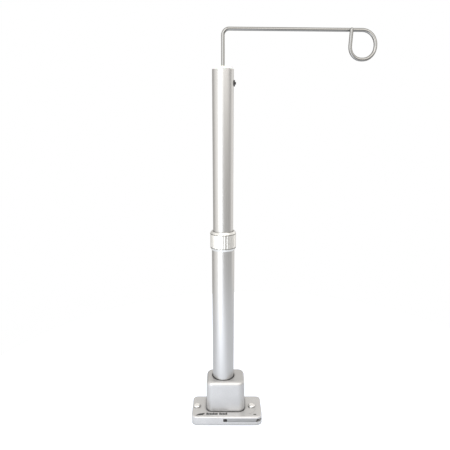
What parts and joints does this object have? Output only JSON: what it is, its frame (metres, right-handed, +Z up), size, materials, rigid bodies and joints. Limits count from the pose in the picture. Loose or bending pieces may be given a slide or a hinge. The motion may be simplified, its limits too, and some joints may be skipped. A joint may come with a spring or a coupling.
{
  "type": "iv drip stand",
  "caption": "Bench-top drip stand: a quick-release clamp base carries a telescopic pole with a twist collar and a wire arm that ends in a bag loop.",
  "frame": {"origin": "where the pole's axis meets the flat underside of the base", "axes": "+Z up along the pole, +X along the wire arm towards its loop, -Y out of the front of the base, where the lever is"},
  "size_m": [0.1917, 0.0466, 0.4384],
  "materials": {
    "cast_base": "fine satin silver-grey lacquer on cast alloy",
    "anodised_tube": "satin clear-anodised drawn tube",
    "bright_collar": "polished and fluted",
    "stainless_wire": "drawn stainless wire, semi-bright",
    "bright_screw": "polished nickel plate",
    "lever_alloy": "satin anodised",
    "zinc_steel": "zinc plated",
    "inner_steel": "zinc plated",
    "turned_alloy": "turned",
    "white_nylon": "natural white nylon, smooth",
    "black_coat": "black coating, on the rivet and as print"
  },
  "bodies": {
    "base": {"mount_housing": "cast_base", "cover_plate": "zinc_steel", "housing_screws": "bright_screw", "lever_pin": "inner_steel"},
    "lever": {"release_lever": "lever_alloy"},
    "foot": {"foot_block": "cast_base", "foot_tongue": "zinc_steel", "tongue_screws": "inner_steel", "foot_bolt": "inner_steel", "foot_washer": "inner_steel", "lower_tube_plug": "turned_alloy", "lower_tube": "anodised_tube", "compression_ring": "white_nylon"},
    "collar": {"lock_collar": "bright_collar"},
    "guide": {"guide_ring": "white_nylon"},
    "upper_pole": {"upper_tube": "anodised_tube", "bottom_plug": "turned_alloy", "guide_washer": "inner_steel", "guide_screw": "inner_steel", "top_plug": "white_nylon", "plug_rivet": "black_coat", "hook_rod": "stainless_wire", "rod_washer": "inner_steel", "rod_nut": "inner_steel"}
  },
  "joints": [
    {"name": "lever_hinge", "type": "hinge", "parent": "base", "child": "lever", "pos_m": [0.008, -0.0247, 0.0071], "axis": [0, 0, -1], "range_deg": [0, 90]},
    {"name": "foot_slide", "type": "slide", "parent": "base", "child": "foot", "axis": [0, 1, 0], "range_m": [0, 0.035]},
    {"name": "collar_turn", "type": "hinge", "parent": "foot", "child": "collar", "pos_m": [0, 0, 0.2216], "axis": [0, 0, 1], "range_deg": [0, 180]},
    {"name": "pole_telescope", "type": "slide", "parent": "foot", "child": "guide", "axis": [0, 0, 1], "range_m": [-0.141, 0.03]},
    {"name": "pole_swivel", "type": "hinge", "parent": "guide", "child": "upper_pole", "pos_m": [0, 0, 0.3], "axis": [0, 0, 1], "continuous": true}
  ]
}
